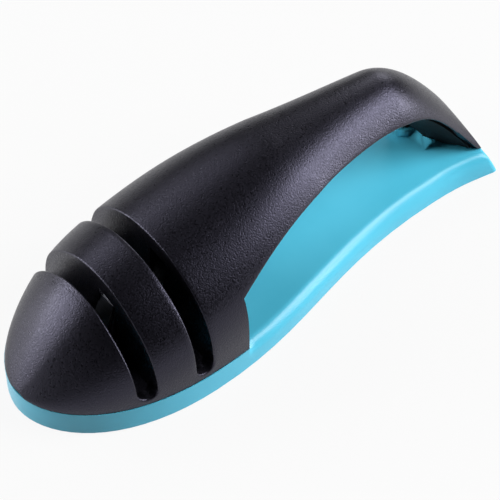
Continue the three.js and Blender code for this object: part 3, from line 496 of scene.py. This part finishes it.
# Unglazed ceramic: dull and even, with a fine sugary grain that is drawn at 0.3 mm so that it shows.
ceramic, tree = new_finish("sintered dark ceramic")
place = add(tree, "ShaderNodeTexCoord").outputs["Object"]
grain = add(tree, "ShaderNodeTexNoise", {"Vector": place, "Scale": 1 / (0.3 * MM), "Detail": 3.0})
tint = add(tree, "ShaderNodeMix", {
    MIX_SHARE: grain.outputs["Fac"], MIX_A: linear("#34393c"), MIX_B: linear("#565c5f")}, data_type="RGBA")
relief = add(tree, "ShaderNodeBump", {
    "Height": grain.outputs["Fac"], "Strength": 0.4, "Distance": 0.04 * MM})
shader = add(tree, "ShaderNodeBsdfPrincipled", {
    "Base Color": tint.outputs[MIX_OUT], "Roughness": 0.6, "Normal": relief.outputs["Normal"], "IOR": 1.7})
add(tree, "ShaderNodeOutputMaterial", {"Surface": shader.outputs["BSDF"]})
for name in ("fine_rod_near", "fine_rod_far"):
    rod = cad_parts[name]
    rod.data.materials.clear()
    rod.data.materials.append(ceramic)


# Screws: steel pan heads with a cross recess, cold-headed and zinc-plated. They are driven up from below
# through the deck, into the posts of the cover and of the holders. Rings are radius and depth in mm.
HEAD_CELLS = 5
CROSS_LINES = (0, -1.5, -0.45, 0.45, 1.5, 0)
CROSS_REACH = 1.2
CROSS_TAPER = 0.55
CROSS_DEPTH = 1.3
FACE_RADIUS, FACE_DROP = 2.3, 0.2
HEAD_HEIGHT = 2.2
HEAD_RINGS = ((2.75, 0.55), (3, 1.1), (3, HEAD_HEIGHT))
SHANK_RADIUS = 1.5
TIP_RADIUS, TIP_LENGTH = 0.8, 0.7

# Zinc plate: a pale grey metal, half bright, clouded in patches about 1.5 mm wide
zinc, tree = new_finish("zinc-plated steel")
place = add(tree, "ShaderNodeTexCoord").outputs["Object"]
bloom = add(tree, "ShaderNodeTexNoise", {"Vector": place, "Scale": 1 / (1.5 * MM), "Detail": 3.0})
tint = add(tree, "ShaderNodeMix", {
    MIX_SHARE: bloom.outputs["Fac"], MIX_A: linear("#7d8084"), MIX_B: linear("#a7aaad")}, data_type="RGBA")
gloss = add(tree, "ShaderNodeMapRange", {"Value": bloom.outputs["Fac"], "To Min": 0.25, "To Max": 0.42})
shader = add(tree, "ShaderNodeBsdfPrincipled", {
    "Base Color": tint.outputs[MIX_OUT], "Roughness": gloss.outputs["Result"], "Metallic": 1.0})
add(tree, "ShaderNodeOutputMaterial", {"Surface": shader.outputs["BSDF"]})

for name in [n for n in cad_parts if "screw" in n]:
    low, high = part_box(name)
    length = (high[2] - low[2]) / MM
    bm = bmesh.new()
    bmesh.ops.create_grid(bm, x_segments=HEAD_CELLS, y_segments=HEAD_CELLS, size=1)
    for vert in bm.verts:
        spot = [round((c + 1) / 2 * HEAD_CELLS) for c in vert.co.xy]
        if 0 in spot or HEAD_CELLS in spot:
            vert.co = vert.co.normalized() * FACE_RADIUS - Vector((0, 0, FACE_DROP))
        else:
            vert.co = (CROSS_LINES[spot[0]], CROSS_LINES[spot[1]], 0)
    rim = [e for e in bm.edges if e.is_boundary]
    arms = [f for f in bm.faces if f.calc_center_median().length < CROSS_REACH]
    sunk = bmesh.ops.extrude_face_region(bm, geom=arms)["geom"]
    bmesh.ops.delete(bm, geom=arms, context="FACES")
    sunk = [g for g in sunk if isinstance(g, bmesh.types.BMVert)]
    bmesh.ops.scale(bm, verts=sunk, vec=(CROSS_TAPER, CROSS_TAPER, 1))
    bmesh.ops.translate(bm, verts=sunk, vec=(0, 0, -CROSS_DEPTH))
    shank = ((SHANK_RADIUS, HEAD_HEIGHT), (SHANK_RADIUS, length - TIP_LENGTH), (TIP_RADIUS, length))
    for radius, depth in HEAD_RINGS + shank:
        drawn = bmesh.ops.extrude_edge_only(bm, edges=rim)["geom"]
        rim = [g for g in drawn if isinstance(g, bmesh.types.BMEdge)]
        for vert in (g for g in drawn if isinstance(g, bmesh.types.BMVert)):
            vert.co = Vector((*vert.co.xy.normalized() * radius, -depth))
    bmesh.ops.edgeloop_fill(bm, edges=rim)
    bmesh.ops.recalc_face_normals(bm, faces=bm.faces)
    bmesh.ops.scale(bm, verts=bm.verts, vec=(MM, MM, MM))
    bmesh.ops.rotate(bm, verts=bm.verts, cent=(0, 0, 0), matrix=Matrix.Rotation(math.pi, 3, "X"))
    middle = ((low[0] + high[0]) / 2, (low[1] + high[1]) / 2, low[2])
    bmesh.ops.translate(bm, verts=bm.verts, vec=middle)
    settle(name + "_cross_head", bm, zinc, [name], 30)


# Feet: moulded black rubber plugs pressed into cups under the tray, with a ring groove underneath.
# The profile is radius and height in mm.
FOOT = [(0, 0), (3.1, 0), (3.25, 0.3), (3.75, 0.3), (3.9, 0), (5.2, 0), (5.6, 0.12), (5.88, 0.4),
        (6, 0.8), (6, 4.2), (5.85, 4.55), (5.5, 4.7), (0, 4.7)]

# Moulded rubber: matt and nearly black, with a powdery bloom in specks about 1 mm wide
rubber, tree = new_finish("matt moulded rubber")
place = add(tree, "ShaderNodeTexCoord").outputs["Object"]
bloom = add(tree, "ShaderNodeTexNoise", {"Vector": place, "Scale": 1 / (1 * MM), "Detail": 3.0})
tint = add(tree, "ShaderNodeMix", {
    MIX_SHARE: bloom.outputs["Fac"], MIX_A: linear("#131315"), MIX_B: linear("#232326")}, data_type="RGBA")
relief = add(tree, "ShaderNodeBump", {
    "Height": bloom.outputs["Fac"], "Strength": 0.5, "Distance": 0.05 * MM})
shader = add(tree, "ShaderNodeBsdfPrincipled", {
    "Base Color": tint.outputs[MIX_OUT], "Roughness": 0.85, "Normal": relief.outputs["Normal"], "IOR": 1.5})
add(tree, "ShaderNodeOutputMaterial", {"Surface": shader.outputs["BSDF"]})

for name in [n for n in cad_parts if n.startswith("foot_")]:
    low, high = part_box(name)
    bm = bmesh.new()
    turned(bm, (low[0] + high[0]) / 2 / MM, (low[1] + high[1]) / 2 / MM, FOOT, 48)
    bmesh.ops.recalc_face_normals(bm, faces=bm.faces)
    settle(name + "_pad", bm, rubber, [name], 40)


# Table and studio: a plain pale table, white to the camera and in reflections, that keeps a little of its
# lit paint for the object's shadow. It lies a hair below the feet.
TABLE_DROP = 0.1
GLOW_SHARE = 0.92
table, tree = new_finish("white studio table")
path_kind = add(tree, "ShaderNodeLightPath")
seen = path_kind.outputs["Is Camera Ray"]
for ray in ("Is Glossy Ray", "Is Transmission Ray"):
    either = add(tree, "ShaderNodeMath", {0: seen, 1: path_kind.outputs[ray]}, operation="MAXIMUM")
    seen = either.outputs[0]
share = add(tree, "ShaderNodeMath", {0: seen, 1: GLOW_SHARE}, operation="MULTIPLY")
paint = add(tree, "ShaderNodeBsdfDiffuse", {"Color": linear("#c4c4c4")})
glow = add(tree, "ShaderNodeEmission", {"Color": (1, 1, 1, 1), "Strength": 1.0})
mixed = add(tree, "ShaderNodeMixShader", {0: share.outputs[0], 1: paint.outputs[0], 2: glow.outputs[0]})
add(tree, "ShaderNodeOutputMaterial", {"Surface": mixed.outputs[0]})
bm = bmesh.new()
bmesh.ops.create_grid(bm, x_segments=1, y_segments=1, size=3)
bmesh.ops.translate(bm, verts=bm.verts, vec=(0, 0, -TABLE_DROP * MM))
mesh = bpy.data.meshes.new("table")
bm.to_mesh(mesh)
bm.free()
mesh.materials.append(table)
floor = bpy.data.objects.new("table", mesh)
bpy.context.scene.collection.objects.link(floor)

# The surround is white to the camera alone: in reflections it would turn the satin black grey
world = bpy.data.worlds.new("studio")
world.use_nodes = True
tree = world.node_tree
tree.nodes.clear()
path_kind = add(tree, "ShaderNodeLightPath")
dim = add(tree, "ShaderNodeBackground", {"Color": (1, 1, 1, 1), "Strength": 0.035})
white = add(tree, "ShaderNodeBackground", {"Color": (1, 1, 1, 1), "Strength": 1.0})
backdrop = add(tree, "ShaderNodeMixShader", {
    0: path_kind.outputs["Is Camera Ray"], 1: dim.outputs[0], 2: white.outputs[0]})
add(tree, "ShaderNodeOutputWorld", {"Surface": backdrop.outputs[0]})
bpy.context.scene.world = world

# Soft boxes: the compass angle and height angle of each, its size in metres and its power in watts
BOXES = {
    "right": (321, 41, 0.7, 15.0),
    "right low": (325, 11, 0.5, 10.5),
    "tail": (33, 24, 0.6, 4.2),
    "far side": (136, 16, 0.8, 14.0),
    "back": (95, 42, 0.6, 3.0),
}
BOX_DISTANCE = 1.3
LIT_POINT = Vector((0, 0, 0.02))
for name, (turn, lift, size, power) in BOXES.items():
    lamp = bpy.data.lights.new(name, "AREA")
    lamp.size = size
    lamp.energy = power
    box = bpy.data.objects.new(name, lamp)
    turn, lift = math.radians(turn), math.radians(lift)
    outward = Vector((math.cos(lift) * math.cos(turn), math.cos(lift) * math.sin(turn), math.sin(lift)))
    box.location = outward * BOX_DISTANCE + LIT_POINT
    box.rotation_euler = outward.to_track_quat("Z", "Y").to_euler()
    bpy.context.scene.collection.objects.link(box)

# Camera: above the nose's near side, 0.76 m off, with a long lens
AIM = Vector((-0.001, 0, 0.0163))
AZIMUTH, ELEVATION, DISTANCE = -38.86, 50.1, 0.763
flat = math.cos(math.radians(ELEVATION))
ahead = Vector((flat * -math.sin(math.radians(AZIMUTH)), flat * math.cos(math.radians(AZIMUTH)),
                -math.sin(math.radians(ELEVATION))))
lens = bpy.data.cameras.new("camera")
lens.lens = 155.9
lens.sensor_width = 36
lens.shift_x = 0.0032
lens.shift_y = -0.0226
lens.clip_start = 0.01
camera = bpy.data.objects.new("camera", lens)
camera.location = AIM - ahead * DISTANCE
camera.rotation_euler = ahead.to_track_quat("-Z", "Y").to_euler()
bpy.context.scene.collection.objects.link(camera)
bpy.context.scene.camera = camera
bpy.context.scene.view_settings.view_transform = "Standard"
